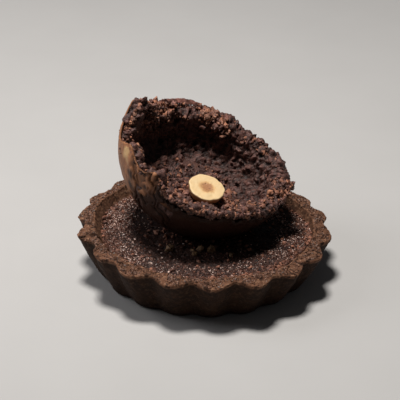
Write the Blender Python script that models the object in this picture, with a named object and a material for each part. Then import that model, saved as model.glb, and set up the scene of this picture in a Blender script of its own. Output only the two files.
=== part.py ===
"""A chocolate tart: a fluted crust, its baked filling, and a bowl of aerated chocolate that stands tilted in
the filling, holds half a hazelnut and has a loose flake on its rim. The origin is the middle of the crust's
flat base, and +Z is up."""

from math import atan2, cos, exp, hypot, pi, radians, sin, sqrt

import bmesh
import bpy
from mathutils import Matrix, Vector

MM = 0.001
GAP = 0.3 * MM

# Crust: a cup with 18 round flutes that lean outwards.
FLUTES = 18
POINTS_PER_FLUTE = 10
FLUTE_TURN = radians(-85.5)
BASE_RADIUS = 37.8 * MM
BASE_FLUTE_DEPTH = 1.8 * MM
RIM_RADIUS = 46.9 * MM
RIM_FLUTE_DEPTH = 3.3 * MM
FLUTE_UNEVENNESS = 0.3 * MM
LOBE_BREADTH = 0.75
WALL_BULGE = 0.8
RIM_HEIGHT = 19.3 * MM
LOBE_DROOP = 1.2 * MM
RIM_SLOPE = -0.032
RIM_EDGE = 1.1 * MM
BASE_EDGE = 0.8 * MM
WELL_RADIUS = 43.2 * MM
SHOULDER_RADIUS = 39.9 * MM
SHOULDER_DEPTH = 5.0 * MM
WELL_FLOOR_RADIUS = 35.6 * MM
WELL_UNEVENNESS = 0.25 * MM
FLOOR_THICKNESS = 3.6 * MM

# Filling: below the rim at the back, and nearly level with it at the front.
FILLING_POINTS = 72
FILLING_DROP = 3.6 * MM
FILLING_FRONT_RISE = 2.2 * MM
FILLING_RISE_HEADING = radians(-45.0)
FILLING_EDGE = 0.7 * MM

# Bowl: a sphere cut below its middle, tilted towards +X and a little to the front, with a dish that has a flat
# floor and steep walls. The rim leans inwards over the dish, most of all at the back.
BOWL_CENTRE = Vector((1.8, 8.0, 48.0)) * MM
BOWL_RADIUS = 35.5 * MM
BOWL_POINTS = 80
BOWL_TILT = radians(20.5)
BOWL_TILT_HEADING = radians(-24.0)
RIM_LEVEL = -4.4 * MM
DISH_DEPTH = 17.6 * MM
DISH_SQUARENESS = 3.2
DISH_RINGS = (0.985, 0.955, 0.90, 0.82, 0.70, 0.52, 0.28)
RIM_OVERHANG = 2.4 * MM
RIM_OVERHANG_HEADING = radians(115.0)
WALL_THINNEST = 3.8 * MM
WALL_THICKEST = 5.2 * MM
WALL_THICKEST_HEADING = radians(-50.0)
# Where the broken rim stands up or drops: heading in degrees, height and half width in degrees.
RIM_BREAKS = (
    (78.0, 1.4 * MM, 8.0),
    (105.0, -1.4 * MM, 16.0),
    (147.0, 3.4 * MM, 9.0),
    (161.0, 8.6 * MM, 7.5),
    (186.0, -1.2 * MM, 7.0),
    (207.0, 5.6 * MM, 8.0),
    (233.0, 4.6 * MM, 8.0),
    (262.0, -2.2 * MM, 18.0),
    (331.0, -2.6 * MM, 7.0),
    (346.0, 5.0 * MM, 6.5),
)

# Flake: a loose scrap of the bowl's skin that lies along the back of its rim.
FLAKE_FROM = radians(97.0)
FLAKE_TO = radians(120.0)
FLAKE_STATIONS = 9
FLAKE_WIDTH = 4.2 * MM
FLAKE_THICKNESS = 1.1 * MM
FLAKE_RADIUS = 33.8 * MM
FLAKE_LIFT = 0.6 * MM

# Hazelnut half: its cut face is up, and its round side rests in the dish.
NUT_POINTS = 36
NUT_RADIUS = 7.25 * MM
NUT_HEIGHT = 5.4 * MM
NUT_FOOT_RADIUS = 2.2 * MM
NUT_SEAT = (4.4 * MM, -1.9 * MM)
NUT_LIFT = 0.45 * MM
NUT_FACING = Vector((0.25, -0.25, 0.935)).normalized()


def principled(name, colour, roughness):
    """A matt material of one colour."""
    material = bpy.data.materials.new(name)
    material.use_nodes = True
    shader = material.node_tree.nodes["Principled BSDF"]
    shader.inputs["Base Color"].default_value = (*colour, 1.0)
    shader.inputs["Roughness"].default_value = roughness
    shader.inputs["Metallic"].default_value = 0.0
    return material


def turned_body(name, rings, material, place=None):
    """Adds the closed body that runs through the rings, from the pole before the first to the pole after the
    last. Each ring is a list of points, anticlockwise seen from +Z, and a pole is a ring of one point."""
    mesh = bmesh.new()
    loops = [[mesh.verts.new(point) for point in ring] for ring in rings]
    for lower, upper in zip(loops, loops[1:]):
        count = max(len(lower), len(upper))
        for this in range(count):
            after = (this + 1) % count
            corners = [lower[this % len(lower)], lower[after % len(lower)]]
            corners += [upper[after % len(upper)], upper[this % len(upper)]]
            mesh.faces.new(dict.fromkeys(corners))
    bmesh.ops.recalc_face_normals(mesh, faces=mesh.faces)
    if place:
        mesh.transform(place)
    data = bpy.data.meshes.new(name)
    mesh.to_mesh(data)
    mesh.free()
    data.shade_smooth()
    data.set_sharp_from_angle(angle=radians(45))
    data.materials.append(material)
    body = bpy.data.objects.new(name, data)
    bpy.context.collection.objects.link(body)
    return body


def headings(count):
    """Evenly spaced directions around the vertical axis."""
    return [2 * pi * index / count for index in range(count)]


def polar(radius, heading, height):
    return Vector((radius * cos(heading), radius * sin(heading), height))


def between(start, end, share):
    return start + (end - start) * share


def smooth_step(low, high, value):
    """0 up to low, 1 from high, and a soft S between them."""
    share = min(max((value - low) / (high - low), 0.0), 1.0)
    return share * share * (3 - 2 * share)


def lobe(heading):
    """0 in the valleys between the flutes and 1 at their tips, which are broader than the valleys."""
    wave = 0.5 + 0.5 * cos(FLUTES * (heading - FLUTE_TURN))
    return wave**LOBE_BREADTH


def crust_outline(heading, share):
    """Outer radius of the crust at a share of its height: the valleys' cone, which bulges a little, plus the
    flutes, which grow deeper upwards."""
    valley = between(BASE_RADIUS, RIM_RADIUS, share**WALL_BULGE)
    depth = between(BASE_FLUTE_DEPTH, RIM_FLUTE_DEPTH, share)
    uneven = sin(5 * heading + 1.0) + sin(11 * heading + 2.0)
    return valley + depth * lobe(heading) + FLUTE_UNEVENNESS * share * uneven


def rim_height(radius, heading):
    """The rim is higher towards -X, and waves a little."""
    wave = sin(4 * heading + 0.6) + sin(9 * heading)
    return RIM_HEIGHT + RIM_SLOPE * radius * cos(heading) + 0.25 * MM * wave


def shoulder_height(heading):
    """Height at which the inside of the crust bends from its steep lower wall to its flatter upper one."""
    return rim_height(WELL_RADIUS, heading) - SHOULDER_DEPTH


def well_radius(heading, height):
    """Inner radius of the crust: a steep cone up to its shoulder and a flatter one from there to the rim."""
    uneven = WELL_UNEVENNESS * (sin(3 * heading) + sin(7 * heading + 1.5))
    shoulder = shoulder_height(heading)
    if height < shoulder:
        share = (height - FLOOR_THICKNESS) / (shoulder - FLOOR_THICKNESS)
        return between(WELL_FLOOR_RADIUS, SHOULDER_RADIUS + uneven, share)
    share = (height - shoulder) / SHOULDER_DEPTH
    return between(SHOULDER_RADIUS, WELL_RADIUS, share) + uneven


def crust_section(heading):
    """The crust's outline at one heading, as (radius, height) from the middle of its base up and over its rim
    and down to the edge of its floor."""
    foot = crust_outline(heading, 0.0)
    lip = crust_outline(heading, 1.0)
    top = rim_height(lip, heading)
    brink = top - LOBE_DROOP * lobe(heading)
    section = [(foot - BASE_EDGE, 0.0)]
    for height in (BASE_EDGE, 0.5 * brink, brink - RIM_EDGE):
        section.append((crust_outline(heading, height / brink), height))
    section.append((lip - 0.3 * RIM_EDGE, brink - 0.3 * RIM_EDGE))
    section.append((lip - RIM_EDGE, brink))
    below = top - 0.5 * RIM_EDGE
    inner = well_radius(heading, below)
    section.append((inner + 0.5 * RIM_EDGE, top))
    section.append((inner, below))
    for height in (shoulder_height(heading), FLOOR_THICKNESS):
        section.append((well_radius(heading, height), height))
    return section


def rings_of(sections, around):
    """Turns one section for each heading into one ring for each point of the section."""
    return [
        [polar(radius, heading, height) for heading, (radius, height) in zip(around, level)]
        for level in zip(*sections)
    ]


def make_crust():
    around = [FLUTE_TURN + heading for heading in headings(FLUTES * POINTS_PER_FLUTE)]
    rings = rings_of([crust_section(heading) for heading in around], around)
    floor_middle = [Vector((0, 0, FLOOR_THICKNESS))]
    rings = [[Vector((0, 0, 0))], *rings, floor_middle]
    return turned_body("crust", rings, principled("crust", (0.085, 0.042, 0.026), 0.85))


def filling_level(x, y):
    """Height of the filling's top, with a round hollow where the bowl presses into it."""
    level = RIM_HEIGHT + RIM_SLOPE * x - FILLING_DROP
    forward = x * cos(FILLING_RISE_HEADING) + y * sin(FILLING_RISE_HEADING)
    level += FILLING_FRONT_RISE * smooth_step(0.1, 0.9, forward / WELL_RADIUS)
    level += 0.25 * MM * (sin(x / (6 * MM)) * cos(y / (8 * MM)))
    away = hypot(x - BOWL_CENTRE.x, y - BOWL_CENTRE.y)
    bowl = BOWL_RADIUS + GAP
    if away < bowl:
        level = min(level, BOWL_CENTRE.z - sqrt(bowl * bowl - away * away))
    return level


def beside_crust(heading, height):
    """A place a small gap inside the crust's inner wall."""
    return polar(well_radius(heading, height) - GAP, heading, height)


def make_filling():
    """The rings of the top spread from the bowl's foot to the crust's wall."""
    around = headings(FILLING_POINTS)
    floor = FLOOR_THICKNESS + GAP
    rings = [[Vector((0, 0, floor))]]
    rings.append([beside_crust(heading, floor) for heading in around])
    rings.append([beside_crust(heading, shoulder_height(heading)) for heading in around])
    side = []
    for heading in around:
        near_wall = polar(SHOULDER_RADIUS, heading, 0.0)
        height = filling_level(near_wall.x, near_wall.y) - FILLING_EDGE
        side.append(beside_crust(heading, height))
    rings.append(side)
    middle = Vector((BOWL_CENTRE.x, BOWL_CENTRE.y, 0.0))
    for share in (0.985, 0.9, 0.75, 0.6, 0.45, 0.33, 0.25, 0.17, 0.08):
        ring = []
        for wall in side:
            place = middle.lerp(wall, share)
            ring.append(Vector((place.x, place.y, filling_level(place.x, place.y))))
        rings.append(ring)
    rings.append([Vector((middle.x, middle.y, filling_level(middle.x, middle.y)))])
    return turned_body("filling", rings, principled("filling", (0.060, 0.032, 0.022), 0.6))


def bowl_rim(heading):
    """Height of the bowl's broken rim above the sphere's middle, along the bowl's own axis."""
    height = RIM_LEVEL
    for place, rise, half_width in RIM_BREAKS:
        turn = (heading - radians(place) + pi) % (2 * pi) - pi
        height += rise * exp(-((turn / radians(half_width)) ** 2))
    return height + 0.3 * MM * sin(17 * heading)


def wall_thickness(heading):
    share = 0.5 + 0.5 * cos(heading - WALL_THICKEST_HEADING)
    return between(WALL_THINNEST, WALL_THICKEST, share)


def rim_overhang(heading):
    """How far the rim leans in over the dish."""
    return RIM_OVERHANG * (0.5 + 0.5 * cos(heading - RIM_OVERHANG_HEADING))


def dish_height(share):
    """Height of the dish at a share of its radius: a superellipse, which is flatter in the middle and steeper at
    the side than an ellipse."""
    return RIM_LEVEL - DISH_DEPTH * (1 - share**DISH_SQUARENESS) ** (1 / DISH_SQUARENESS)


def bowl_section(heading):
    """The bowl's outline at one heading, as (radius, height) about its own axis, from its foot up the outside,
    over the broken rim and down the dish."""
    rim = bowl_rim(heading)
    lowest = -pi / 2
    highest = atan2(rim, sqrt(BOWL_RADIUS**2 - rim * rim))
    section = []
    for step in range(1, 11):
        angle = between(lowest, highest, step / 10)
        section.append((BOWL_RADIUS * cos(angle), BOWL_RADIUS * sin(angle)))
    outer = section[-1][0]
    inner = outer - wall_thickness(heading)
    lip = inner - rim_overhang(heading)
    section.append((between(outer, lip, 0.45), rim + 0.5 * MM))
    section.append((lip, rim - 0.4 * MM))
    section += [(inner * share, dish_height(share)) for share in DISH_RINGS]
    return section


def bowl_place():
    """Turns the bowl's own axis from +Z to its tilt and moves it to its place."""
    axis = Vector((-sin(BOWL_TILT_HEADING), cos(BOWL_TILT_HEADING), 0.0))
    return Matrix.Translation(BOWL_CENTRE) @ Matrix.Rotation(BOWL_TILT, 4, axis)


def make_bowl():
    around = headings(BOWL_POINTS)
    rings = rings_of([bowl_section(heading) for heading in around], around)
    foot = [Vector((0, 0, -BOWL_RADIUS))]
    dish_middle = [Vector((0, 0, dish_height(0.0)))]
    rings = [foot, *rings, dish_middle]
    material = principled("aerated_chocolate", (0.075, 0.036, 0.024), 0.75)
    return turned_body("chocolate_bowl", rings, material, bowl_place())


def make_flake():
    """Runs along the highest part of the rim under it: a flat strip whose ends narrow to points."""
    stations = range(1, FLAKE_STATIONS)
    turns = [between(FLAKE_FROM, FLAKE_TO, step / FLAKE_STATIONS) for step in stations]
    level = max(bowl_rim(heading) for heading in turns) + 0.5 * MM + FLAKE_LIFT + FLAKE_THICKNESS / 2
    rings = [[polar(FLAKE_RADIUS, FLAKE_FROM, level)]]
    for step, heading in zip(stations, turns):
        share = step / FLAKE_STATIONS
        half_width = 0.5 * FLAKE_WIDTH * sqrt(sin(pi * share)) * (1 + 0.15 * sin(9 * share))
        half_height = 0.5 * FLAKE_THICKNESS
        ring = []
        for around, up in ((-1, -0.5), (0, -1), (1, -0.5), (1, 0.5), (0, 1), (-1, 0.5)):
            radius = FLAKE_RADIUS + around * half_width
            ring.append(polar(radius, heading, level + up * half_height))
        rings.append(ring)
    rings.append([polar(FLAKE_RADIUS, FLAKE_TO, level)])
    material = principled("chocolate_skin", (0.085, 0.036, 0.026), 0.5)
    return turned_body("chocolate_flake", rings, material, bowl_place())


def make_hazelnut():
    """The cut face is at height 0 of the nut's own frame, and the round side hangs below it."""
    around = headings(NUT_POINTS)
    rings = [[Vector((0, 0, -NUT_HEIGHT))]]
    for share in (0.0, 0.2, 0.45, 0.72, 0.93):
        height = -NUT_HEIGHT * (1 - share)
        bulge = between(NUT_FOOT_RADIUS, NUT_RADIUS, sqrt(1 - (1 - share) ** 2))
        ring = []
        for heading in around:
            uneven = 1 + 0.02 * sin(3 * heading + 1) + 0.015 * sin(7 * heading)
            ring.append(polar(bulge * uneven, heading, height))
        rings.append(ring)
    rings.append([point * 0.95 - Vector((0, 0, point.z)) for point in rings[-1]])
    rings.append([Vector((0, 0, 0))])
    seat = bowl_place() @ Vector((*NUT_SEAT, dish_height(0.0)))
    face = seat + NUT_FACING * (NUT_HEIGHT + NUT_LIFT)
    turn = Vector((0, 0, 1)).rotation_difference(NUT_FACING).to_matrix().to_4x4()
    place = Matrix.Translation(face) @ turn
    return turned_body("hazelnut", rings, principled("hazelnut", (0.72, 0.50, 0.27), 0.55), place)


for leftover in list(bpy.data.objects):
    bpy.data.objects.remove(leftover)

make_crust()
make_filling()
make_bowl()
make_flake()
make_hazelnut()
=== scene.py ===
"""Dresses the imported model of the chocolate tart. Shapes are worked out in millimetres, in the model's own frame:
the origin is the middle of the crust's flat base, +Z is up and -Y is the front. Headings go anticlockwise from +X.
Numbers such as the flutes' depth and the bowl's tilt repeat those of the model's source."""

import bmesh
import bpy
import numpy as np
from mathutils import Matrix, Vector
from numpy import cos, exp, pi, radians, sin, sqrt


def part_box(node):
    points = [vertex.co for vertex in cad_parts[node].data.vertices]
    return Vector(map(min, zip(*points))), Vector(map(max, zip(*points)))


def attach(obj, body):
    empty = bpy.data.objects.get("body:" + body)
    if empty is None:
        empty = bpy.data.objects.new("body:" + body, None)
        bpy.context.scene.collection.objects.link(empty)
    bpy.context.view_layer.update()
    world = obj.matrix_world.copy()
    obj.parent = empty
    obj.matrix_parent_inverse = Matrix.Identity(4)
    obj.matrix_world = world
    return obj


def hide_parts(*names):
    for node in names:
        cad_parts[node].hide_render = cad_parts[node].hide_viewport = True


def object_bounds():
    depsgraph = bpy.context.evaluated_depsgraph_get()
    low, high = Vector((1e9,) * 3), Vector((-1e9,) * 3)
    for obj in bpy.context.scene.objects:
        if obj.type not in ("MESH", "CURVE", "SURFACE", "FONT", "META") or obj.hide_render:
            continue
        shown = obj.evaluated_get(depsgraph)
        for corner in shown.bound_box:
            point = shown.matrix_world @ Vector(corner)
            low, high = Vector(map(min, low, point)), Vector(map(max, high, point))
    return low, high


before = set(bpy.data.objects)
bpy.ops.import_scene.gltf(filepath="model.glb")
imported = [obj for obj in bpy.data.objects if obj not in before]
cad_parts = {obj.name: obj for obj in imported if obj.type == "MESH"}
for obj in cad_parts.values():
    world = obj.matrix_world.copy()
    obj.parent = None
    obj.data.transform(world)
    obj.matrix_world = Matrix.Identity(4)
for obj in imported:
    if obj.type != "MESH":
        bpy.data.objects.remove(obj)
cad_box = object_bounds()

MM = 0.001


def box_mm(node):
    low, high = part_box(node)
    return np.array(low) / MM, np.array(high) / MM


CRUST_LOW, CRUST_HIGH = box_mm("crust")
FILLING_LOW, FILLING_HIGH = box_mm("filling")
BOWL_LOW, BOWL_HIGH = box_mm("chocolate_bowl")
NUT_LOW, NUT_HIGH = box_mm("hazelnut")

# Crust
FLUTES = 18
FLUTE_TURN = radians(-85.5)
BASE_RADIUS = 37.8
BASE_FLUTE_DEPTH = 1.8
RIM_RADIUS = 46.9
RIM_FLUTE_DEPTH = 3.3
FLUTE_UNEVENNESS = 0.3
LOBE_BREADTH = 0.75
WALL_BULGE = 0.8
RIM_HEIGHT = CRUST_HIGH[2] - 1.83
LOBE_DROOP = 1.2
RIM_SLOPE = -0.032
RIM_EDGE = 1.1
BASE_EDGE = 0.8
WELL_RADIUS = 43.2
SHOULDER_RADIUS = 39.9
SHOULDER_DEPTH = 5.0
WELL_FLOOR_RADIUS = 35.6
WELL_UNEVENNESS = 0.25
FLOOR = 3.6

# Filling
FILLING_DROP = 3.6
FILLING_FRONT_RISE = 2.2
FILLING_RISE_HEADING = radians(-45.0)
FILLING_FLOOR = FILLING_LOW[2]
SIDE_GAP = 0.3

# Bowl: a tilted ball of which the lower part is left, with a dish in it.
BOWL_RADIUS = 35.5
BOWL_CENTRE = np.array([BOWL_LOW[0], BOWL_HIGH[1], BOWL_LOW[2]]) + BOWL_RADIUS * np.array([1.0, -1.0, 1.0])
BOWL_TILT = radians(20.5)
BOWL_TILT_HEADING = radians(-24.0)
RIM_LEVEL = -4.4
DISH_DEPTH = 17.6
DISH_SQUARENESS = 3.2
RIM_OVERHANG = 2.4
RIM_OVERHANG_HEADING = radians(115.0)
WALL_THINNEST = 3.8
WALL_THICKEST = 5.2
WALL_THICKEST_HEADING = radians(-50.0)
# Heading in degrees, rise, and half width in degrees of each break in the bowl's rim.
RIM_BREAKS = (
    (78, 1.4, 8),
    (105, -1.4, 16),
    (147, 3.4, 9),
    (161, 8.6, 7.5),
    (186, -1.2, 7),
    (207, 5.6, 8),
    (233, 4.6, 8),
    (262, -2.2, 18),
    (331, -2.6, 7),
    (346, 5.0, 6.5),
)

# Hazelnut half
NUT_RADIUS = 7.25
NUT_HEIGHT = 5.4
NUT_FOOT_RADIUS = 2.2
NUT_FACING = np.array([0.25, -0.25, 0.935])
NUT_FACING = NUT_FACING / np.linalg.norm(NUT_FACING)
NUT_FACE = (NUT_LOW + NUT_HIGH) / 2 + NUT_FACING * 2.05


RIM_GRAINS = 4200
FILLING_SPECKS = 9600
PASTRY_TONES = ((0.070, 0.031, 0.018), (0.170, 0.078, 0.046), (0.320, 0.165, 0.108))
# Filling specks: dark, middling and pale, the pale ones partly painted glints.
SPECK_TONES = ((0.055, 0.021, 0.014), (0.250, 0.112, 0.078), (0.930, 0.690, 0.590))
# The skin's tans are partly its own colour and partly painted light.
SKIN_TANS = ((0.270, 0.112, 0.052), (0.450, 0.200, 0.098))
FLAKE_TANS = ((0.170, 0.062, 0.046), (0.360, 0.155, 0.125))
# Paler crumbs that paint light on the clumps where it falls most.
LIT_CRUMB_TONES = ((0.125, 0.053, 0.036), (0.320, 0.152, 0.100), (0.410, 0.182, 0.098))
# Heading in degrees, place outwards and up in the bowl's own frame, and radius of each large cavity.
CAVITIES = ((282, 31.2, -5.6, 2.5), (21, 31.0, -6.5, 2.6))
# Clusters of crumbs on the bowl's rim: make_rim_crumbs says what the numbers are.
RIM_CRUMBS = (
    (260, 120, 460, 0.0, 0.2, 1.1, 0.45, 0.30, 0.95),
    (90, 122, 178, 1.0, 0.8, 1.3, 0.60, 0.40, 1.20),
    (90, 119, 139, 0.3, 3.0, 1.4, 0.70, 0.45, 1.30),
    (60, 138, 157, 0.3, 1.6, 1.5, 0.80, 0.45, 1.20),
    (90, 126, 158, 3.6, -0.2, 1.1, 0.90, 0.45, 1.30),
    (90, 130, 153, 3.6, -4.6, 0.8, 1.80, 0.45, 1.30),
    (60, 96, 121, 2.4, -0.4, 1.0, 0.50, 0.35, 0.90),
    (90, 96, 112, -1.0, 2.0, 0.4, 0.45, 0.40, 0.85),
    (60, 110, 123, -0.8, 1.2, 0.4, 0.35, 0.40, 0.80),
    (90, 76, 95, 1.4, 0.2, 1.2, 0.60, 0.45, 1.40),
    (90, 70, 92, 3.6, -2.6, 0.8, 1.20, 0.45, 1.30),
    (130, 236, 300, 0.0, 0.3, 1.2, 0.45, 0.35, 1.20),
    (130, 300, 342, 0.2, 0.3, 1.4, 0.45, 0.35, 1.20),
    (170, 342, 420, 0.8, 0.0, 1.5, 0.45, 0.30, 0.95),
    (60, 340, 353, 0.0, 0.9, 1.2, 0.70, 0.30, 0.90),
)
# Clusters of paler crumbs, painted light on lit clumps; the numbers are as in the rim's clusters.
LIT_CRUMBS = (
    (44, 166, 176, -0.2, 0.4, 0.9, 0.60, 0.45, 1.25),
    (34, 82, 95, 0.8, 0.9, 1.0, 0.50, 0.50, 1.50),
    (30, 83, 92, 3.0, -1.6, 0.7, 1.40, 0.50, 1.40),
    (60, 290, 352, 1.2, 0.7, 2.2, 0.35, 0.30, 0.85),
    (40, 236, 290, 0.6, 0.6, 1.6, 0.35, 0.30, 0.75),
    (22, 198, 214, 0.4, 0.6, 0.8, 0.50, 0.35, 0.90),
)


# ---------------------------------------------------------------- noise


def scrambled(cells, seed):
    """One number from 0 to 1 for each whole-number cell: its coordinates times large primes, added, and the
    bits of the sum mixed."""
    key = cells @ np.array([73856093, 19349663, 83492791]) + seed * 2654435761
    key = (key ^ (key >> 13)) * 1274126177
    key ^= key >> 16
    return (key & 0xFFFFFF) / 0xFFFFFF


def waves(points, size, seed):
    """Soft noise from -1 to 1: each corner of a cubic grid of this size has a random value, and an S-curve leads
    from corner to corner."""
    place = points / size
    cell = np.floor(place).astype(np.int64)
    share = place - cell
    share = share * share * (3 - 2 * share)
    total = 0
    for corner in np.ndindex(2, 2, 2):
        weight = np.where(corner, share, 1 - share).prod(axis=-1)
        total = total + weight * scrambled(cell + corner, seed)
    return 2 * total - 1


def rough(points, size, octaves, seed):
    """Soft noise plus finer noise, each octave half the size and half the strength of the one before."""
    return sum(waves(points, size / 2**octave, seed + octave) / 2**octave for octave in range(octaves))


def folds(points, size, seed):
    """Soft noise folded at zero, so that round lumps meet in sharp creases: 0 in a crease and up to 1 on a lump."""
    return abs(waves(points, size, seed))


def balls(points, size, smallest, largest, seed):
    """How deep each point lies in the nearest of many balls, one at a random place in each cell of a cubic grid
    of this size. Radii, as shares of the cell, run from smallest to largest, and the depth is the half chord."""
    place = points / size
    home = np.floor(place).astype(np.int64)
    depth = np.zeros(place.shape[:-1])
    for step in np.ndindex(3, 3, 3):
        cell = home + step - 1
        centre = cell + np.stack([scrambled(cell, seed + axis) for axis in range(3)], axis=-1)
        radius = between(smallest, largest, scrambled(cell, seed + 3))
        left = radius**2 - ((place - centre) ** 2).sum(axis=-1)
        depth = np.maximum(depth, sqrt(np.maximum(left, 0)))
    return size * depth


# ---------------------------------------------------------------- shape helpers


def between(start, end, share):
    return start + (end - start) * share


def smooth_step(low, high, value):
    """0 up to low, 1 from high, and a soft S between them."""
    share = np.clip((value - low) / (high - low), 0, 1)
    return share * share * (3 - 2 * share)


def bump_at(value, middle, half_width):
    """1 at the middle, falling off as a bell curve."""
    return exp(-(((value - middle) / half_width) ** 2))


def turn_from(heading, degrees):
    """Angle in degrees from a heading given in degrees, from -180 to 180."""
    return (np.degrees(heading) - degrees + 180) % 360 - 180


def polar(radius, heading, height):
    return np.stack(np.broadcast_arrays(radius * cos(heading), radius * sin(heading), height), axis=-1)


def curve(start, corner, end, rows):
    """Rows along the curve that leaves start towards the corner and comes in to end from it."""
    share = np.linspace(0, 1, rows, endpoint=False)[:, None]
    paths = zip(start, corner, end)
    return [(1 - share) ** 2 * a + 2 * share * (1 - share) * b + share**2 * c for a, b, c in paths]


def line(start, end, rows, crowd=1.0):
    """Rows straight from start to end. Crowd above 1 packs them towards start."""
    share = np.linspace(0, 1, rows, endpoint=False)[:, None] ** crowd
    return [between(a, b, share) for a, b in zip(start, end)]


def normals_of(points):
    """Outward directions on a grid that closes from its last column to its first: the direction to the next
    column crossed with the direction to the next row."""
    along = np.roll(points, -1, axis=1) - np.roll(points, 1, axis=1)
    onward = np.gradient(points, axis=0)
    normal = np.cross(along, onward)
    return normal / np.maximum(np.linalg.norm(normal, axis=-1, keepdims=True), 1e-9)


def pushed(points, amount):
    """Moves each point of the grid outwards by its amount."""
    return points + normals_of(points) * amount[..., None]


def unit(vector):
    return vector / np.linalg.norm(vector)


def turning(axis, angle):
    """Rotation matrix about an axis, by Rodrigues' formula."""
    x, y, z = unit(np.asarray(axis, float))
    cross = np.array([[0, -z, y], [z, 0, -x], [-y, x, 0]])
    return np.eye(3) + sin(angle) * cross + (1 - cos(angle)) * cross @ cross


def tilt_to(facing):
    """Rotation matrix that turns +Z to the facing direction by the shortest way."""
    return np.array(Vector((0, 0, 1)).rotation_difference(Vector(facing)).to_matrix())


# ---------------------------------------------------------------- meshes


def add_piece(name, points, faces, finish, slot, **traits):
    """Makes a piece of points in millimetres and faces that list their corners. Each trait is one number per
    point, which the finish reads by its name."""
    data = bpy.data.meshes.new(name)
    data.from_pydata((points * MM).astype(np.float32), [], faces)
    for trait, values in traits.items():
        attribute = data.attributes.new(trait, "FLOAT", "POINT")
        attribute.data.foreach_set("value", np.asarray(values, np.float32).ravel())
    data.shade_smooth()
    data.materials.append(finish)
    data.update()
    piece = bpy.data.objects.new(name, data)
    bpy.context.scene.collection.objects.link(piece)
    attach(piece, "root")
    return piece


def add_grid(name, points, finish, slot, **traits):
    """Makes a closed piece of a grid whose columns go round and whose first and last rows are each drawn
    together at their middle."""
    rows, columns = points.shape[:2]
    number = np.arange(rows * columns).reshape(rows, columns)
    after = np.roll(number, -1, axis=1)
    quads = np.stack([number[:-1], after[:-1], after[1:], number[1:]], axis=-1).reshape(-1, 4)
    first = np.full(columns, rows * columns)
    start_fan = np.stack([first, after[0], number[0]], axis=-1)
    end_fan = np.stack([number[-1], after[-1], first + 1], axis=-1)
    faces = quads.tolist() + start_fan.tolist() + end_fan.tolist()
    ends = [points[0].mean(axis=0), points[-1].mean(axis=0)]
    all_points = np.concatenate([points.reshape(-1, 3), ends])
    traits = {
        trait: np.concatenate([values.ravel(), [values[0].mean(), values[-1].mean()]])
        for trait, values in traits.items()
    }
    return add_piece(name, all_points, faces, finish, slot, **traits)


def ball_template(detail):
    """Corners and faces of a ball of radius 1 made of equal triangles."""
    ball = bmesh.new()
    bmesh.ops.create_icosphere(ball, subdivisions=detail, radius=1.0)
    corners = np.array([vertex.co for vertex in ball.verts])
    faces = np.array([[vertex.index for vertex in face.verts] for face in ball.faces])
    ball.free()
    return corners, faces


def random_turns(dice, count):
    """Rotation matrices of evenly spread random quaternions."""
    w, x, y, z = (dice.normal(size=(count, 4)) / 1.0).T
    length = sqrt(w * w + x * x + y * y + z * z)
    w, x, y, z = w / length, x / length, y / length, z / length
    rows = [
        [1 - 2 * (y * y + z * z), 2 * (x * y - w * z), 2 * (x * z + w * y)],
        [2 * (x * y + w * z), 1 - 2 * (x * x + z * z), 2 * (y * z - w * x)],
        [2 * (x * z - w * y), 2 * (y * z + w * x), 1 - 2 * (x * x + y * y)],
    ]
    return np.array(rows).transpose(2, 0, 1)


def add_crumbs(name, places, radii, detail, lumpy, dice, finish, slot):
    """Makes one piece of many crumbs. Each is a small ball, stretched and turned at random, whose corners are
    moved in and out: by up to lumpy at random, and by as much again along a few random directions, so that it is
    knobbly. Its trait tone is a random number of its own, and two more traits give painted shade on its underside
    and a painted highlight on its top."""
    corners, faces = ball_template(detail)
    count = len(places)
    stretch = dice.uniform(0.65, 1.35, size=(count, 1, 3))
    knobs = dice.normal(size=(count, 3, 5))
    knobs = knobs / np.linalg.norm(knobs, axis=1, keepdims=True)
    swell = smooth_step(0.55, 1.0, np.einsum("ci,nij->ncj", corners, knobs)).max(axis=-1)[..., None]
    shape = corners[None] * stretch * (1 - lumpy + 2 * lumpy * swell)
    shape = shape * (1 + lumpy * dice.uniform(-1, 1, size=(count, len(corners), 1)))
    shape = np.einsum("nij,nkj->nki", random_turns(dice, count), shape) * radii[:, None, None]
    ragged = rough(places[:, None] + shape, 1.0, 2, 97)[..., None]
    points = places[:, None] + shape * (1 + 0.5 * ragged)
    numbers = faces[None] + len(corners) * np.arange(count)[:, None, None]
    tone = np.repeat(dice.uniform(0, 1, size=count), len(corners))
    up = shape[..., 2] / radii[:, None]
    # Each crumb's underside gets painted shade and its top a painted highlight.
    traits = {"tone": tone, "hollow": 0.75 * smooth_step(0.25, -0.75, up), "point": 0.6 * smooth_step(0.3, 0.9, up)}
    piece = add_piece(name, points.reshape(-1, 3), numbers.reshape(-1, 3).tolist(), finish, slot, **traits)
    piece.data.set_sharp_from_angle(angle=radians(35))
    return piece


# ---------------------------------------------------------------- finishes


class Link:
    """An output of a node. Arithmetic on it adds Math nodes."""

    def __init__(self, finish, socket):
        self.finish = finish
        self.socket = socket

    def maths(self, operation, first, second):
        return self.finish.node("ShaderNodeMath", {"operation": operation}, {0: first, 1: second})

    def __add__(self, other):
        return self.maths("ADD", self, other)

    def __sub__(self, other):
        return self.maths("SUBTRACT", self, other)

    def __rsub__(self, other):
        return self.maths("SUBTRACT", other, self)

    def __mul__(self, other):
        return self.maths("MULTIPLY", self, other)

    def __truediv__(self, other):
        return self.maths("DIVIDE", self, other)

    def __pow__(self, other):
        return self.maths("POWER", self, other)

    __radd__ = __add__
    __rmul__ = __mul__


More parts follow.
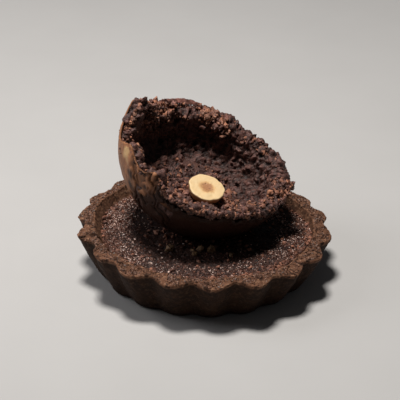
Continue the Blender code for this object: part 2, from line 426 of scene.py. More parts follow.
class Finish:
    """A material whose Principled shader is fed step by step."""

    def __init__(self, name, **constants):
        self.material = bpy.data.materials.new(name)
        self.material.use_nodes = True
        self.tree = self.material.node_tree
        self.shader = self.tree.nodes["Principled BSDF"]
        self.place = self.node("ShaderNodeTexCoord", output="Object")
        for socket, value in constants.items():
            self.shader.inputs[socket.replace("_", " ")].default_value = value

    def node(self, kind, settings=None, sockets=None, output=0):
        """Adds a node: first its settings, then a value or a link for each named or numbered socket."""
        node = self.tree.nodes.new(kind)
        for setting, value in (settings or {}).items():
            setattr(node, setting, value)
        for socket, value in (sockets or {}).items():
            self.feed(node.inputs[socket], value)
        return Link(self, node.outputs[output])

    def feed(self, socket, value):
        if isinstance(value, Link):
            self.tree.links.new(value.socket, socket)
        else:
            socket.default_value = value

    def trait(self, name):
        return self.node("ShaderNodeAttribute", {"attribute_name": name}, output="Fac")

    def noise(self, size, detail=2.0, roughness=0.5, distortion=0.0):
        """Noise from 0 to 1 with features of this size in millimetres."""
        sockets = {
            "Vector": self.place,
            "Scale": 1 / (size * MM),
            "Detail": detail,
            "Roughness": roughness,
            "Distortion": distortion,
        }
        return self.node("ShaderNodeTexNoise", {}, sockets)

    def cells(self, size, feature="F1", output="Distance"):
        """Distance from the nearest of scattered points, as a share of this size in millimetres."""
        sockets = {"Vector": self.place, "Scale": 1 / (size * MM)}
        return self.node("ShaderNodeTexVoronoi", {"feature": feature}, sockets, output)

    def step(self, value, low, high):
        """0 up to low, 1 from high, with an S-curve between."""
        sockets = {"Value": value, "From Min": low, "From Max": high}
        return self.node("ShaderNodeMapRange", {"interpolation_type": "SMOOTHSTEP"}, sockets)

    def mix(self, share, first, second):
        """Colour from first to second by the share."""
        first, second = ((*c, 1.0) if isinstance(c, tuple) else c for c in (first, second))
        return self.node("ShaderNodeMix", {"data_type": "RGBA"}, {0: share, 6: first, 7: second}, 2)

    def brightened(self, colour, amount):
        """The colour times an amount that may vary."""
        sockets = {0: colour, "Scale": amount}
        return self.node("ShaderNodeVectorMath", {"operation": "SCALE"}, sockets)

    def bump(self, height, depth, strength=1.0, under=None):
        """Normal from a height of 0 to 1 that stands for this depth in millimetres."""
        sockets = {"Height": height, "Distance": depth * MM, "Strength": strength}
        if under:
            sockets["Normal"] = under
        return self.node("ShaderNodeBump", {}, sockets)

    def done(self, colour, roughness, normal):
        self.feed(self.shader.inputs["Base Color"], colour)
        self.feed(self.shader.inputs["Roughness"], roughness)
        self.feed(self.shader.inputs["Normal"], normal)
        return self.material


def crust_finish():
    """Dry baked cocoa pastry: darker, smoother walls, a paler rim, fine pale specks and dark patches, with painted
    shade in its pores and cracks. The walls are darker partly in their own colour and partly as painted shade, and
    the dark patches are partly the pastry's own and partly painted shade of small pits. The trait rim is 1 on the
    broken top of the rim, and the trait for painted shade is 1 deep in a pore or a crack."""
    finish = Finish("chocolate_pastry", Specular_IOR_Level=0.2)
    mottle = finish.noise(3.2, 4.0, 0.6)
    # The walls are darker than the rim, partly in the pastry's own colour and partly as painted shade.
    wall = finish.mix(finish.step(mottle, 0.35, 0.7), (0.015, 0.0060, 0.0025), (0.032, 0.0130, 0.0056))
    rim = finish.mix(finish.step(mottle, 0.3, 0.7), (0.112, 0.049, 0.027), (0.192, 0.088, 0.049))
    colour = finish.mix(finish.trait("rim"), wall, rim)
    flecks_and_glints = finish.step(finish.noise(1.2, 2.5, 0.55), 0.52, 0.66)
    colour = finish.mix(flecks_and_glints * (0.06 + 0.44 * finish.trait("rim")), colour, (0.430, 0.245, 0.150))
    # Dark patches, partly the pastry's own colour and partly painted shade of small pits.
    dark_patches_and_shade = finish.step(finish.noise(2.0, 2.0, 0.6), 0.50, 0.64)
    colour = finish.mix(dark_patches_and_shade * (0.5 + 0.42 * finish.trait("rim")), colour, (0.022, 0.009, 0.005))
    # Painted shade: darker in pores and cracks.
    colour = finish.brightened(colour, 1 - 0.85 * finish.trait("hollow"))
    grain = finish.noise(0.35, 3.0, 0.65)
    coarse = finish.bump(finish.noise(1.1, 3.0, 0.6), 0.35)
    return finish.done(colour, 0.72 + 0.2 * grain, finish.bump(grain, 0.12, under=coarse))


def filling_finish():
    """Baked chocolate with a sandy top: dark and slightly sheeny in the middle, redder and paler towards the
    crust, with painted shade in its pits, holes and seam and between its grains. The trait edge is 1 beside the
    crust."""
    finish = Finish("baked_filling", Specular_IOR_Level=0.28)
    mottle = finish.noise(2.4, 4.0, 0.6)
    middle = finish.mix(finish.step(mottle, 0.35, 0.7), (0.036, 0.0130, 0.0090), (0.105, 0.042, 0.030))
    edge = finish.mix(finish.step(mottle, 0.35, 0.7), (0.080, 0.026, 0.0125), (0.215, 0.082, 0.043))
    colour = finish.mix(finish.trait("edge"), middle, edge)
    grains = finish.step(finish.noise(0.6, 2.0, 0.6), 0.56, 0.64)
    colour = finish.mix(grains * 0.5, colour, (0.360, 0.225, 0.180))
    # Painted shade in pits, holes, the seam by the crust and between grains.
    colour = finish.brightened(colour, 1 - 0.8 * finish.trait("hollow"))
    grain = finish.noise(0.3, 3.0, 0.7)
    coarse = finish.bump(finish.noise(0.9, 3.0, 0.6), 0.4)
    return finish.done(colour, 0.25 + 0.5 * grain, finish.bump(grain, 0.2, under=coarse))


def skin_finish(name, tan_dark, tan_light):
    """Thin moulded chocolate: tan towards the high side, partly from dry wear and partly as painted light on the
    side the lamps reach, with a painted highlight on its proud edge, and dark reddish brown below and at the front,
    partly its own colour and partly painted shade. The trait for wear and light is 0 where it is dark, 0.8 where it
    is tan and 1 at the painted highlight, and crack is 1 in a crack, which is painted dark as shade."""
    finish = Finish(name, Specular_IOR_Level=0.2)
    mottle = finish.noise(3.0, 4.0, 0.55)
    worn = finish.trait("worn")
    # Dark reddish brown below and at the front, partly the skin's own colour and partly painted shade.
    dark = finish.mix(mottle, (0.020, 0.0075, 0.0045), (0.036, 0.0135, 0.008))
    # Tan on the high side, partly the skin's own paler colour and partly painted light.
    tan = finish.mix(finish.step(mottle, 0.35, 0.7), tan_dark, tan_light)
    colour = finish.mix(finish.step(worn, 0.0, 0.8), dark, tan)
    # Painted highlight: a pale yellow-tan where the trait nears 1.
    colour = finish.mix(finish.step(worn, 0.8, 1.0), colour, (0.640, 0.400, 0.190))
    dust = finish.step(finish.noise(0.9, 3.0, 0.6), 0.56, 0.70)
    colour = finish.mix(dust * worn * 0.45, colour, (0.120, 0.050, 0.026))
    # Painted shade in cracks.
    colour = finish.mix(finish.trait("crack") * 0.95, colour, (0.012, 0.005, 0.003))
    grain = finish.noise(0.6, 3.0, 0.6)
    return finish.done(colour, 0.40 + 0.3 * mottle, finish.bump(grain, 0.10))


def crumb_finish(name, dark, light, warm):
    """Aerated chocolate: matt and crumbly, with warmer crumbs here and there, painted shade in its bubbles and
    under its crumbs, painted highlights on their tops and small pale painted glints. The trait for painted shade is
    1 deep in a bubble or under a crumb, point is 1 on a crumb's top, where the painted highlight is, and tone
    varies by crumb."""
    finish = Finish(name, Specular_IOR_Level=0.4)
    mottle = finish.noise(2.2, 4.0, 0.65)
    tone = finish.trait("tone")
    colour = finish.mix(finish.step(mottle, 0.38, 0.62), dark, light)
    warmth = finish.step(finish.noise(4.0, 3.0, 0.6) + 0.30 * tone, 0.58, 0.80)
    colour = finish.mix(warmth * 0.75, colour, warm)
    # Painted highlight on the tops of crumbs and lumps, painted shade in bubbles, creases and under crumbs.
    light_share = 1 + 0.8 * finish.trait("point") - 0.92 * finish.trait("hollow")
    colour = finish.brightened(colour, light_share * (0.60 + 0.9 * tone))
    # Small pale spots: painted glints.
    flecks_and_glints = finish.step(finish.noise(0.7, 2.0, 0.6), 0.61, 0.67)
    colour = finish.mix(flecks_and_glints * (0.25 + 0.45 * tone), colour, (0.520, 0.320, 0.250))
    grain = finish.noise(0.35, 3.0, 0.65)
    coarse = finish.bump(finish.noise(0.9, 3.0, 0.6), 0.45)
    return finish.done(colour, 0.28 + 0.45 * grain, finish.bump(grain, 0.18, under=coarse))


def nut_finish():
    """Hazelnut: cream face with a tan, pink-brown middle and small dark pits, and a tan side. The trait face is 0
    on the side and 1 on the face, and middle is 1 at the face's middle."""
    finish = Finish("hazelnut_flesh", Specular_IOR_Level=0.5)
    mottle = finish.noise(2.2, 3.0, 0.55)
    cream = finish.mix(mottle, (0.840, 0.515, 0.215), (0.930, 0.695, 0.390))
    tan = finish.mix(mottle, (0.380, 0.190, 0.075), (0.560, 0.340, 0.150))
    colour = finish.mix(finish.trait("face"), tan, cream)
    bright_ring = (1 - finish.trait("middle")) * finish.trait("face")
    colour = finish.mix(bright_ring * 0.25, colour, (0.980, 0.820, 0.520))
    colour = finish.mix(finish.step(finish.trait("middle"), 0.0, 0.5) * 0.6, colour, (0.780, 0.440, 0.170))
    heart = finish.step(finish.trait("middle") + 0.5 * (finish.noise(1.6, 3.0, 0.6) - 0.5), 0.25, 0.95)
    colour = finish.mix(heart * 0.85, colour, (0.430, 0.180, 0.078))
    pits = finish.step(finish.noise(0.8, 2.0, 0.6), 0.57, 0.66) * finish.trait("middle")
    colour = finish.mix(pits * 0.7, colour, (0.200, 0.090, 0.045))
    grain = finish.noise(0.5, 3.0, 0.6)
    return finish.done(colour, 0.38 + 0.2 * grain, finish.bump(grain, 0.08))


def grain_finish(name, tones, shine=0.4):
    """Loose grains, most of them dark or middling and a few pale, by the trait tone. Shine lowers the roughness."""
    finish = Finish(name, Specular_IOR_Level=0.5)
    tone = finish.trait("tone")
    colour = finish.mix(finish.step(tone, 0.1, 0.7), tones[0], tones[1])
    colour = finish.mix(finish.step(tone, 0.68, 0.95), colour, tones[2])
    return finish.done(colour, 0.75 - shine + 0.25 * tone, finish.bump(finish.noise(0.3), 0.05))


def chopped_nut_finish():
    """Baked chopped hazelnut, from tan to brown."""
    finish = Finish("chopped_hazelnut", Specular_IOR_Level=0.4)
    mottle = finish.noise(1.2, 3.0, 0.6)
    colour = finish.mix(finish.step(mottle, 0.35, 0.68), (0.115, 0.060, 0.032), (0.330, 0.200, 0.100))
    return finish.done(colour, 0.5 + 0.25 * mottle, finish.bump(finish.noise(0.5, 3.0), 0.12))


# ---------------------------------------------------------------- crust


def lobe(heading):
    """0 in the valleys between the flutes and 1 at their tips, which are broader than the valleys."""
    return (0.5 + 0.5 * cos(FLUTES * (heading - FLUTE_TURN))) ** LOBE_BREADTH


def crust_outline(heading, share):
    """Outer radius at a share of the height: a bulging cone plus flutes that grow deeper upwards. Each flute is a
    little deeper or shallower than the next."""
    valley = between(BASE_RADIUS, RIM_RADIUS, share**WALL_BULGE)
    depth = between(BASE_FLUTE_DEPTH, RIM_FLUTE_DEPTH, share)
    depth = depth * (1 + 0.09 * sin(7.3 * sin(heading) + 5.1 * cos(heading) + 0.5))
    uneven = sin(5 * heading + 1.0) + sin(11 * heading + 2.0)
    return valley + depth * lobe(heading) + FLUTE_UNEVENNESS * share * uneven


def rim_height(radius, heading):
    """The rim is higher towards -X, and waves a little."""
    wave = sin(4 * heading + 0.6) + sin(9 * heading)
    return RIM_HEIGHT + RIM_SLOPE * radius * cos(heading) + 0.25 * wave


def shoulder_height(heading):
    """Height at which the inside of the crust bends from its steep lower wall to its flatter upper one."""
    return rim_height(WELL_RADIUS, heading) - SHOULDER_DEPTH


def well_radius(heading, height):
    """Inner radius of the crust: a steep cone up to its shoulder and a flatter one from there to the rim."""
    uneven = WELL_UNEVENNESS * (sin(3 * heading) + sin(7 * heading + 1.5))
    shoulder = shoulder_height(heading)
    low_share = (height - FLOOR) / (shoulder - FLOOR)
    lower = between(WELL_FLOOR_RADIUS, SHOULDER_RADIUS + uneven, low_share)
    upper = between(SHOULDER_RADIUS, WELL_RADIUS, (height - shoulder) / SHOULDER_DEPTH) + uneven
    return np.where(height < shoulder, lower, upper)


def make_crust():
    """One section for each heading, from under the base up the fluted wall, round the lip, over the broken top
    and down the inside. Pores, cracks and crumbling then move the points along the surface's normals."""
    heading = FLUTE_TURN + np.linspace(0, 2 * pi, 880, endpoint=False)
    zero = 0 * heading
    foot = crust_outline(heading, 0.0)
    lip = crust_outline(heading, 1.0)
    ragged = polar(lip, heading, zero)
    lip = lip + 0.32 * rough(ragged, 2.6, 3, 11) - 0.6 * bump_at(turn_from(heading, -72), 0, 1.2)
    top = rim_height(lip, heading)
    brink = top - LOBE_DROOP * lobe(heading) + 0.25 * rough(ragged, 2.2, 3, 15)
    below = top - 0.5 * RIM_EDGE
    inner = well_radius(heading, below) + 0.45 * rough(polar(WELL_RADIUS, heading, zero), 3.2, 3, 19)
    shoulder = shoulder_height(heading)
    at_shoulder = well_radius(heading, shoulder)
    at_floor = well_radius(heading, FLOOR + zero)
    wall_top = brink - RIM_EDGE
    wall_share = np.linspace(0, 1, 38, endpoint=False)[:, None]
    wall_height = between(BASE_EDGE, wall_top, wall_share)
    wall_foot = crust_outline(heading, BASE_EDGE / brink)
    wall_end = crust_outline(heading, wall_top / brink)
    segments = [
        (line((foot * 0.02, zero), (foot - BASE_EDGE, zero), 4), 0.0, 0.0),
        (curve((foot - BASE_EDGE, zero), (foot, zero), (wall_foot, BASE_EDGE + zero), 4), 0.2, 0.0),
        ((crust_outline(heading, wall_height / brink), wall_height), 0.55, 0.0),
        (curve((wall_end, wall_top), (lip, brink - 0.1), (lip - RIM_EDGE, brink), 10), 0.9, 0.9),
        (line((lip - RIM_EDGE, brink), (inner + 0.5 * RIM_EDGE, top), 22), 1.0, 1.0),
        (curve((inner + 0.5 * RIM_EDGE, top), (inner, top), (inner, below), 4), 1.0, 0.9),
        (line((inner, below), (at_shoulder, shoulder), 20), 1.0, 0.6),
        (line((at_shoulder, shoulder), (at_floor, FLOOR + zero), 4), 0.2, 0.2),
        (line((at_floor, FLOOR + zero), (0.5 + zero, FLOOR + zero), 3), 0.0, 0.0),
    ]
    radius = np.concatenate([shape[0] for shape, _, _ in segments])
    height = np.concatenate([shape[1] for shape, _, _ in segments])
    rows = [len(shape[0]) for shape, _, _ in segments]
    relief = np.repeat([depth for _, depth, _ in segments], rows)[:, None]
    on_rim = np.repeat([share for _, _, share in segments], rows)[:, None] + zero
    points = polar(radius, heading, height)
    pores = balls(points, 1.6, 0.05, 0.36, 31) + 0.8 * balls(points, 0.85, 0.05, 0.42, 37)
    pores = pores * between(0.35, 1.0, on_rim) * (0.3 + 0.7 * smooth_step(-0.3, 0.4, waves(points, 5.0, 41)))
    grains = balls(points, 0.95, 0.15, 0.5, 39) * on_rim
    wander = 1.1 * waves(points, 2.5, 43)
    slant = turn_from(heading, 204.5) - 13.0 * smooth_step(49.5, 44.0, radius)
    crack = bump_at(turn_from(heading, 196.5) + wander, 0, 0.5) + bump_at(slant - wander, 0, 0.55)
    crack = (crack + 0.5 * bump_at(turn_from(heading, -38) + wander, 0, 0.35)) * on_rim
    sunk = smooth_step(-0.8, 0.6, turn_from(heading, 197)) * smooth_step(0.8, -0.8, slant) * on_rim
    groove = bump_at(height - brink, -2.2, 0.6) * (1 - on_rim) * smooth_step(0.3, 0.8, height / brink)
    amount = 0.24 * rough(points, 4.5, 2, 51) + 0.16 * rough(points, 1.3, 2, 55) + 0.45 * grains
    amount = relief * (amount - 1.05 * pores) - 0.8 * crack - 0.9 * sunk - 0.18 * groove
    # Painted shade in pores and cracks, less on the grains.
    hollow = np.clip(relief * (1.6 * pores - 0.8 * grains) + 0.8 * crack, 0, 1)
    points = pushed(points, amount)
    points[..., 2] = np.maximum(points[..., 2], 0)
    near_lip = smooth_step(-2.2, -0.4, height - brink) * smooth_step(0.5, 0.9, height / brink)
    rim = np.where(radius < inner + 0.1, on_rim, np.maximum(on_rim, near_lip))
    piece = add_grid("pastry_crust", points, crust_finish(), "crust", hollow=hollow, rim=rim)
    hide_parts("crust")
    return points[56:78]


def make_rim_grains(rim_top, dice):
    """Loose grains of pastry along the broken top of the rim."""
    places = rim_top.reshape(-1, 3)
    liking = 0.2 + smooth_step(-0.3, 0.6, waves(places, 4.0, 57))
    chosen = dice.choice(len(places), RIM_GRAINS, replace=False, p=liking / liking.sum())
    places = places[chosen] + dice.normal(0, 0.08, size=(RIM_GRAINS, 3))
    radii = dice.uniform(0.14, 0.40, size=RIM_GRAINS)
    add_crumbs("rim_grains", places, radii, 1, 0.25, dice, grain_finish("pastry_grains", PASTRY_TONES), "crust")


# ---------------------------------------------------------------- filling


def filling_level(x, y):
    """Height of the filling, with a round dip where the bowl presses into it."""
    level = RIM_HEIGHT + RIM_SLOPE * x - FILLING_DROP
    forward = x * cos(FILLING_RISE_HEADING) + y * sin(FILLING_RISE_HEADING)
    level = level + FILLING_FRONT_RISE * smooth_step(0.1, 0.9, forward / WELL_RADIUS)
    level = level + 0.25 * (sin(x / 6) * cos(y / 8))
    away = (x - BOWL_CENTRE[0]) ** 2 + (y - BOWL_CENTRE[1]) ** 2
    under = BOWL_CENTRE[2] - sqrt(np.maximum((BOWL_RADIUS + SIDE_GAP) ** 2 - away, 0))
    return np.where(away < BOWL_RADIUS**2, np.minimum(level, under), level)


def make_filling():
    """A flat underside, a side just inside the crust, and a top whose rings close in on the bowl's foot. Its
    grains are small balls half out of the surface, closest together in a band inside the crust."""
    heading = np.linspace(0, 2 * pi, 760, endpoint=False)
    zero = 0 * heading
    wall = polar(SHOULDER_RADIUS, heading, zero)
    level = filling_level(wall[:, 0], wall[:, 1])
    wall = well_radius(heading, level) + 0.25 + 0.4 * rough(wall, 2.4, 3, 61)
    rim = polar(wall, heading, zero)
    level = filling_level(rim[:, 0], rim[:, 1])
    middle = np.array([BOWL_CENTRE[0], BOWL_CENTRE[1], 0])
    share = np.concatenate([np.linspace(0.985, 0.30, 92), np.linspace(0.27, 0.02, 6)])[:, None, None]
    top = between(middle, rim, share)
    top[..., 2] = filling_level(top[..., 0], top[..., 1])
    at_floor = well_radius(heading, FILLING_FLOOR + zero) - SIDE_GAP
    shoulder = shoulder_height(heading)
    at_shoulder = well_radius(heading, shoulder) - SIDE_GAP
    below = [(0.02 * at_floor, FILLING_FLOOR), (at_floor, FILLING_FLOOR), (at_shoulder, shoulder)]
    below += [(between(at_shoulder, wall, 0.6), between(shoulder, level, 0.4)), (wall, level - 0.55)]
    points = np.concatenate([[polar(radius, heading, height + zero) for radius, height in below], top])
    from_middle = np.linalg.norm(points[..., :2], axis=-1)
    on_top = np.zeros((len(points), 1))
    on_top[len(below) :] = 1.0
    from_wall = wall - from_middle
    edge = smooth_step(6.5, 0.5, from_wall + 2.0 * waves(points, 4.0, 65))
    band = smooth_step(19.0, 12.0, from_wall + 3.5 * waves(points, 6.0, 67))
    grains = balls(points, 1.25, 0.15, 0.5, 71)
    fine = balls(points, 0.8, 0.2, 0.5, 75)
    pits = balls(points, 2.4, 0.0, 0.36, 79)
    holes = balls(points, 3.4, 0.05, 0.42, 89) * smooth_step(3.5, 1.0, from_wall)
    seam = smooth_step(0.9, 0.2, from_wall) * zone(heading, -62, 25, 10)
    amount = 0.32 * rough(points, 5.0, 3, 81) + 0.6 * grains * between(0.35, 1.0, band) + 0.4 * fine
    amount = amount + 0.6 * edge * rough(points, 1.6, 2, 85) - 0.8 * pits - 1.1 * holes - 0.8 * seam
    amount = on_top * (amount - 0.2)
    # Painted shade between the grains and in pits, holes and the seam.
    between_grains = smooth_step(0.25, 0.0, grains + 0.6 * fine)
    hollow = np.clip(on_top * (1.1 * pits + 1.0 * holes + 0.9 * seam + 0.8 * between_grains), 0, 1)
    placed = pushed(points, amount)
    piece = add_grid("chocolate_filling", placed, filling_finish(), "filling", hollow=hollow, edge=edge)
    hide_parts("filling")
    return placed[len(below) : len(below) + 92]


def make_specks(top, dice):
    """Glossy grains on the filling, thickest in a band inside the crust. The palest of them are partly painted
    glints, and as painted light there are more of them on the left and fewer at the front.
    """
    places = top.reshape(-1, 3)
    inwards = WELL_RADIUS - 1.5 - np.linalg.norm(places[:, :2], axis=-1)
    patchy = smooth_step(-0.6, 0.5, waves(places, 7.0, 91))
    liking = (0.05 + smooth_step(15.0, 8.0, inwards) * smooth_step(-0.5, 2.5, inwards)) * (0.2 + patchy)
    # More grains on the left and fewer at the front: painted light.
    liking = liking * (1 + 1.0 * smooth_step(-8.0, -34.0, places[:, 0])) * (1 - 0.55 * smooth_step(-12.0, -28.0, places[:, 1]))
    liking = liking * smooth_step(14.0, 20.0, np.linalg.norm(places[:, :2] - BOWL_CENTRE[:2], axis=-1))
    chosen = dice.choice(len(places), FILLING_SPECKS, replace=False, p=liking / liking.sum())
    places = places[chosen] + dice.normal(0, 0.12, size=(FILLING_SPECKS, 3)) + np.array([0, 0, 0.08])
    radii = dice.uniform(0.12, 0.30, size=FILLING_SPECKS)
    finish = grain_finish("filling_specks", SPECK_TONES, 0.62)
    add_crumbs("filling_specks", places, radii, 1, 0.25, dice, finish, "filling")


def make_filling_crumbs(top, dice):
    """Crumbs of pastry and filling, mostly lying along the crust."""
    places = top.reshape(-1, 3)
    from_middle = np.linalg.norm(places[:, :2], axis=-1)
    liking = 0.03 + bump_at(from_middle, WELL_RADIUS - 2.2, 1.8)
    chosen = dice.choice(len(places), 1100, replace=False, p=liking / liking.sum())
    radii = between(0.22, 0.85, dice.uniform(0, 1, 1100) ** 1.8)
    places = places[chosen] + np.array([0, 0, 0.1])
    finish = crumb_finish("tart_crumbs", (0.085, 0.034, 0.022), (0.165, 0.071, 0.048), (0.210, 0.086, 0.050))
    add_crumbs("filling_crumbs", places, radii, 2, 0.16, dice, finish, "filling")


def make_chopped_nuts(dice):
    """A few chopped bits of hazelnut, half sunk in the filling in front of the bowl."""
    bits = np.array(
        [(-13.4, -16.2, 1.3), (-1.7, -15.3, 1.5), (2.6, -15.7, 1.4), (-3.6, -19.9, 1.2), (10.3, -20.3, 0.9), (-4.2, -16.6, 0.9)]
    )
    level = filling_level(bits[:, 0], bits[:, 1])
    places = np.stack([bits[:, 0], bits[:, 1], level + 0.1], axis=-1)
    add_crumbs("chopped_hazelnut", places, bits[:, 2], 3, 0.07, dice, chopped_nut_finish(), "hazelnut")


# ---------------------------------------------------------------- bowl


def bowl_rim(heading):
    """Height of the broken rim above the ball's middle, along the bowl's own axis."""
    height = RIM_LEVEL + 0.3 * sin(17 * heading)
    for place, rise, half_width in RIM_BREAKS:
        height = height + rise * bump_at(turn_from(heading, place), 0, half_width)
    return height


def wall_thickness(heading):
    return between(WALL_THINNEST, WALL_THICKEST, 0.5 + 0.5 * cos(heading - WALL_THICKEST_HEADING))


def rim_overhang(heading):
    """How far the rim leans in over the dish."""
    return RIM_OVERHANG * (0.5 + 0.5 * cos(heading - RIM_OVERHANG_HEADING))


def dish_share(turn):
    """Share of the dish's radius for a turn from 0 at its side to 1 at its middle."""
    return np.maximum(cos(turn * pi / 2), 0.0004) ** (2 / DISH_SQUARENESS)


def dish_height(share):
    """Height of the dish at a share of its radius: a superellipse, which is flatter in the middle and steeper at
    the side than an ellipse."""
    return RIM_LEVEL - DISH_DEPTH * (1 - share**DISH_SQUARENESS) ** (1 / DISH_SQUARENESS)


def in_place(points):
    """Turns points from the bowl's own frame, whose axis is +Z, to its tilt, and moves them to its place."""
    axis = (-sin(BOWL_TILT_HEADING), cos(BOWL_TILT_HEADING), 0.0)
    return points @ turning(axis, BOWL_TILT).T + BOWL_CENTRE


def ball_points(radius, heading, angle):
    """Points on a ball at headings and at angles above its middle plane."""
    return polar(radius * cos(angle), heading + 0 * angle, radius * sin(angle))


def zone(heading, start, end, soft):
    """1 between two headings in degrees, falling off over the soft width outside them."""
    middle = (start + end) / 2
    return smooth_step((end - start) / 2 + soft, (end - start) / 2, abs(turn_from(heading, middle)))


def skin_edge(heading):
    """Height of the skin's edge: just over the rim on the high side, where it stands alone, and below it elsewhere,
    lowest at the front."""
    drop = 1.6 + 1.2 * zone(heading, 248, 292, 8) + 0.6 * zone(heading, 292, 335, 8)
    drop = drop + 1.3 * zone(heading, 36, 74, 12) + 1.4 * zone(heading, 340, 352, 6)
    around = polar(BOWL_RADIUS, heading, 0 * heading)
    drop = drop + 1.2 * zone(heading, 248, 342, 8) * waves(around, 5.0, 103)
    proud = zone(heading, 176, 240, 7)
    return bowl_rim(heading) - drop * (1 - proud) + 0.35 * proud


def make_bowl_skin():
    """A thin moulded shell: out along a ball from its foot to a ragged edge below or at the rim, and back inside.
    Long fissures run up and down its high side, where it is paler, partly as painted light, and lifts in plates.
    The fissures and the broken band at the front are painted dark as shade."""
    heading = np.linspace(0, 2 * pi, 700, endpoint=False)
    zero = 0 * heading
    level = polar(BOWL_RADIUS + zero, heading, zero)
    edge = skin_edge(heading)
    edge = edge + between(0.8, 0.45, zone(heading, 176, 240, 7)) * rough(level, 2.6, 4, 101)
    edge = np.minimum(edge, 15.0)
    lowest = -pi / 2 + 0.02
    highest = np.arcsin(edge / BOWL_RADIUS)
    out_share = np.linspace(0, 1, 126)[:, None] ** 0.85
    in_share = np.concatenate([np.linspace(1, 0.85, 7), [0.6, 0.3, 0.0]])[:, None]
    outer = ball_points(BOWL_RADIUS, heading, between(lowest, highest, out_share))
    inner = ball_points(BOWL_RADIUS - 0.75, heading, between(lowest, highest - 0.004, in_share))
    points = np.concatenate([outer, inner])
    rows_out = len(outer)
    angle = between(lowest, highest, out_share)
    bend = radians(5) * waves(outer, 3.0, 107) + 0.25 * angle
    stretched = polar(14.0 + zero, heading + bend, 3.4 * angle + 0.8 * waves(outer, 4.5, 109))
    high_side = smooth_step(-1.15, -0.55, angle)
    torn = zone(heading, 217, 250, 6) * high_side
    creases = folds(stretched, 1.15, 111)
    slivers = creases + 0.5 * folds(stretched, 0.45, 113)
    tears = smooth_step(0.24, 0.16, creases) * smooth_step(-0.5, -0.2, waves(stretched, 1.3, 121))
    fissures = torn * np.clip(np.maximum(tears, balls(stretched, 1.0, 0.1, 0.48, 115) * 4.0), 0, 1)
    chips = balls(stretched, 0.5, 0.0, 0.25, 117) * zone(heading, 172, 222, 8) * high_side
    plates = torn * (0.75 * slivers - 0.2) * smooth_step(-0.4, 0.3, waves(outer, 4.0, 119))
    below_edge = smooth_step(4.5, 0.0, (highest - angle) * BOWL_RADIUS)
    broken = below_edge * zone(heading, 240, 345, 8)
    amount = np.zeros(points.shape[:2])
    amount[:rows_out] = 0.14 * rough(outer, 4.0, 3, 121) - 1.0 * fissures - 1.2 * chips + plates
    amount[:rows_out] += (0.25 * below_edge + 0.6 * broken) * rough(outer, 1.6, 3, 125)
    crack = np.zeros(points.shape[:2])
    # Painted shade in fissures and chips, and over the broken band at the front, under the overhang.
    crack[:rows_out] = np.clip(fissures + 2.4 * chips + 0.4 * broken, 0, 1)
    patchy = smooth_step(-0.5, 0.4, waves(stretched, 1.4, 127) + 0.6 * waves(outer, 2.0, 129))
    wander = radians(16) * waves(outer, 9.0, 123) + radians(7) * waves(outer, 3.0, 125)
    # Tan on the side that faces the lamps, partly paler skin and partly painted light.
    tan = zone(heading + wander, 164, 219, 14) * smooth_step(-0.90, -0.45, angle) * (0.70 + 0.30 * patchy)
    tan = tan + zone(heading, 219, 244, 6) * smooth_step(-0.42, -0.14, angle) * (0.04 + 0.80 * patchy)
    from_edge = (highest - angle) * BOWL_RADIUS
    # A painted highlight near the proud edge.
    painted_highlight = bump_at(turn_from(heading, 205), 0, 6) * smooth_step(9.0, 5.5, from_edge) * smooth_step(0.3, 2.2, from_edge)
    worn = np.zeros(points.shape[:2])
    worn[:rows_out] = between(0.8 * np.minimum(tan, 1), 1.0, painted_highlight)
    worn[rows_out:] = 0.4 * zone(heading, 170, 240, 15)
    points = in_place(pushed(points, amount))
    piece = add_grid("bowl_skin", points, skin_finish("chocolate_skin", *SKIN_TANS), "aerated_chocolate", crack=crack, worn=worn)
    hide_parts("chocolate_bowl")


def crumb_rim(heading):
    """Height of the aerated body's rim: like the bowl's, but it has fallen away behind the thin skin at the
    left, and it is rougher."""
    around = polar(BOWL_RADIUS, heading, 0 * heading)
    gap = zone(heading, 174, 197, 7)
    lower = 3.2 * gap + 0.9 * zone(heading, 200, 240, 6) + 1.3 * zone(heading, 36, 74, 12)
    lower = lower + 1.8 * zone(heading, 341, 351, 6) + 1.1 * zone(heading, 124, 155, 6)
    return bowl_rim(heading) + 0.9 * rough(around, 3.4, 3, 131) - lower


def crumb_wall(heading):
    return wall_thickness(heading) * (1 - 0.45 * zone(heading, 174, 197, 7))


def cavity_depth(points):
    """How deep each point of the bowl's own frame lies in the few large cavities, as a half chord."""
    depth = np.zeros(points.shape[:-1])
    for turn, out, up, size in CAVITIES:
        away = np.linalg.norm(points - polar(out, radians(turn), up), axis=-1)
        depth = np.maximum(depth, sqrt(np.maximum(size**2 - away**2, 0)))
    return depth


def broken_crumb(points, smoother):
    """Gives a grid of the aerated body its crumbs: lumps that stand out, bubbles and pits that are sunk in. Returns
    the moved grid and, for the finish, how much painted shade each point gets in creases, bubbles, pits and
    cavities and how much painted highlight it gets on the top of a lump."""
    bent = points + 0.5 * np.stack([waves(points, 1.8, 141 + axis) for axis in range(3)], axis=-1)
    large = folds(bent, 3.0, 145)
    middling = folds(bent, 1.5, 146)
    fine = folds(bent, 0.8, 147)
    creases = np.maximum(smooth_step(0.16, 0.0, large), 0.8 * smooth_step(0.14, 0.0, middling))
    bubbles = balls(points, 3.1, 0.05, 0.46, 153)
    pits = balls(bent, 1.7, 0.05, 0.46, 157)
    strength = 1 - 0.6 * smoother
    cavities = cavity_depth(points)
    amount = 0.5 * rough(points, 6.0, 3, 161) + 1.9 * large + 1.0 * middling + 0.35 * fine
    moved = pushed(points, strength * (amount - 1.1 * bubbles - 0.9 * pits) - 0.85 - 1.3 * cavities)
    # Painted shade in creases, bubbles, pits and cavities, and a painted highlight on the tops of lumps.
    hollow = np.clip(strength * (0.7 * creases + 0.8 * bubbles + 0.9 * pits) + 0.8 * cavities, 0, 1)
    point = np.clip(strength * (1.3 * large + 0.9 * middling - 0.4 - hollow), 0, 1)
    return in_place(moved), hollow, point


